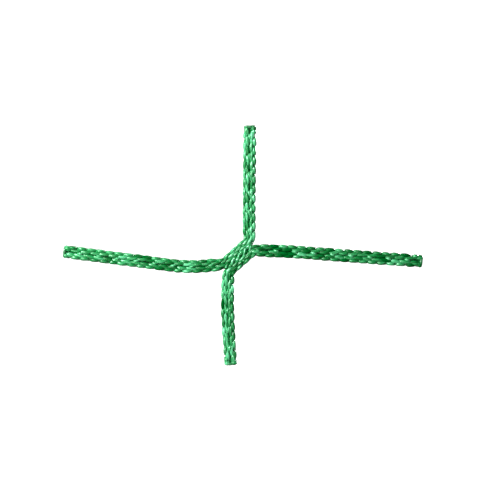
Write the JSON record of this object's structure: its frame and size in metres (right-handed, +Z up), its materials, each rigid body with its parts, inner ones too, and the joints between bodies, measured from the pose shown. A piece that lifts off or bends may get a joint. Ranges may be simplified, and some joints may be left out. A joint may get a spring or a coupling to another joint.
{
  "type": "knotless net crossing",
  "caption": "Crossing of a knotless knitted cargo climbing net: cords knitted together at a slanting junction, with hinged legs that swing in the net's plane and fold out of it.",
  "frame": {"origin": "centre of the junction where the two cords are knitted together, halfway through its thickness", "axes": "+X to the right along the net, +Y out of the back of the net, +Z up; the net lies in the XZ plane and its front faces -Y"},
  "size_m": [0.1437, 0.0064, 0.0958],
  "materials": {
    "knit_yarn": "satin",
    "lay_in_yarn": "satin",
    "fused_tip": "satin"
  },
  "bodies": {
    "junction": {"junction_upper_front_edge_chain": "knit_yarn", "junction_upper_front_seam_chain": "knit_yarn", "junction_upper_back_edge_chain": "knit_yarn", "junction_upper_back_seam_chain": "knit_yarn", "junction_upper_lay_in": "lay_in_yarn", "junction_lower_front_edge_chain": "knit_yarn", "junction_lower_front_seam_chain": "knit_yarn", "junction_lower_back_edge_chain": "knit_yarn", "junction_lower_back_seam_chain": "knit_yarn", "junction_lower_lay_in": "lay_in_yarn", "junction_front_binder": "lay_in_yarn", "junction_back_binder": "lay_in_yarn"},
    "left_root": {"left_root_front_edge_chain": "knit_yarn", "left_root_front_seam_chain": "knit_yarn", "left_root_back_edge_chain": "knit_yarn", "left_root_back_seam_chain": "knit_yarn", "left_root_lay_in": "lay_in_yarn"},
    "left_leg": {"left_leg_front_edge_chain": "knit_yarn", "left_leg_front_seam_chain": "knit_yarn", "left_leg_back_edge_chain": "knit_yarn", "left_leg_back_seam_chain": "knit_yarn", "left_leg_lay_in": "lay_in_yarn", "left_sealed_end": "fused_tip"},
    "top_root": {"top_root_front_edge_chain": "knit_yarn", "top_root_front_seam_chain": "knit_yarn", "top_root_back_edge_chain": "knit_yarn", "top_root_back_seam_chain": "knit_yarn", "top_root_lay_in": "lay_in_yarn"},
    "top_leg": {"top_leg_front_edge_chain": "knit_yarn", "top_leg_front_seam_chain": "knit_yarn", "top_leg_back_edge_chain": "knit_yarn", "top_leg_back_seam_chain": "knit_yarn", "top_leg_lay_in": "lay_in_yarn", "top_sealed_end": "fused_tip"},
    "bottom_root": {"bottom_root_front_edge_chain": "knit_yarn", "bottom_root_front_seam_chain": "knit_yarn", "bottom_root_back_edge_chain": "knit_yarn", "bottom_root_back_seam_chain": "knit_yarn", "bottom_root_lay_in": "lay_in_yarn"},
    "bottom_leg": {"bottom_leg_front_edge_chain": "knit_yarn", "bottom_leg_front_seam_chain": "knit_yarn", "bottom_leg_back_edge_chain": "knit_yarn", "bottom_leg_back_seam_chain": "knit_yarn", "bottom_leg_lay_in": "lay_in_yarn", "bottom_sealed_end": "fused_tip"},
    "right_root": {"right_root_front_edge_chain": "knit_yarn", "right_root_front_seam_chain": "knit_yarn", "right_root_back_edge_chain": "knit_yarn", "right_root_back_seam_chain": "knit_yarn", "right_root_lay_in": "lay_in_yarn"},
    "right_leg": {"right_leg_front_edge_chain": "knit_yarn", "right_leg_front_seam_chain": "knit_yarn", "right_leg_back_edge_chain": "knit_yarn", "right_leg_back_seam_chain": "knit_yarn", "right_leg_lay_in": "lay_in_yarn", "right_sealed_end": "fused_tip"}
  },
  "joints": [
    {"name": "left_swing", "type": "hinge", "parent": "junction", "child": "left_root", "pos_m": [-0.01083, 0, -0.00333], "axis": [0, -1, 0], "range_deg": [-54, 36], "stiffness_Nm_per_rad": 0.002},
    {"name": "left_fold", "type": "hinge", "parent": "left_root", "child": "left_leg", "pos_m": [-0.02014, 0, -0.00423], "axis": [0.1288, 0, 0.9917], "range_deg": [-70, 70], "stiffness_Nm_per_rad": 0.002},
    {"name": "top_swing", "type": "hinge", "parent": "junction", "child": "top_root", "pos_m": [0.00431, 0, 0.01105], "axis": [0, 1, 0], "range_deg": [-41.5, 48.5], "stiffness_Nm_per_rad": 0.002},
    {"name": "top_fold", "type": "hinge", "parent": "top_root", "child": "top_leg", "pos_m": [0.00431, 0, 0.0204], "axis": [1, 0, -0.0087], "range_deg": [-70, 70], "stiffness_Nm_per_rad": 0.002},
    {"name": "bottom_swing", "type": "hinge", "parent": "junction", "child": "bottom_root", "pos_m": [-0.00417, 0, -0.01078], "axis": [0, 1, 0], "range_deg": [-43.5, 46.5], "stiffness_Nm_per_rad": 0.002},
    {"name": "bottom_fold", "type": "hinge", "parent": "bottom_root", "child": "bottom_leg", "pos_m": [-0.0045, 0, -0.02013], "axis": [-0.998, 0, -0.0628], "range_deg": [-70, 70], "stiffness_Nm_per_rad": 0.002},
    {"name": "right_swing", "type": "hinge", "parent": "junction", "child": "right_root", "pos_m": [0.01062, 0, 0.00253], "axis": [0, -1, 0], "range_deg": [-46.5, 43.5], "stiffness_Nm_per_rad": 0.002},
    {"name": "right_fold", "type": "hinge", "parent": "right_root", "child": "right_leg", "pos_m": [0.01997, 0, 0.00221], "axis": [-0.0732, 0, -0.9973], "range_deg": [-70, 70], "stiffness_Nm_per_rad": 0.002}
  ]
}
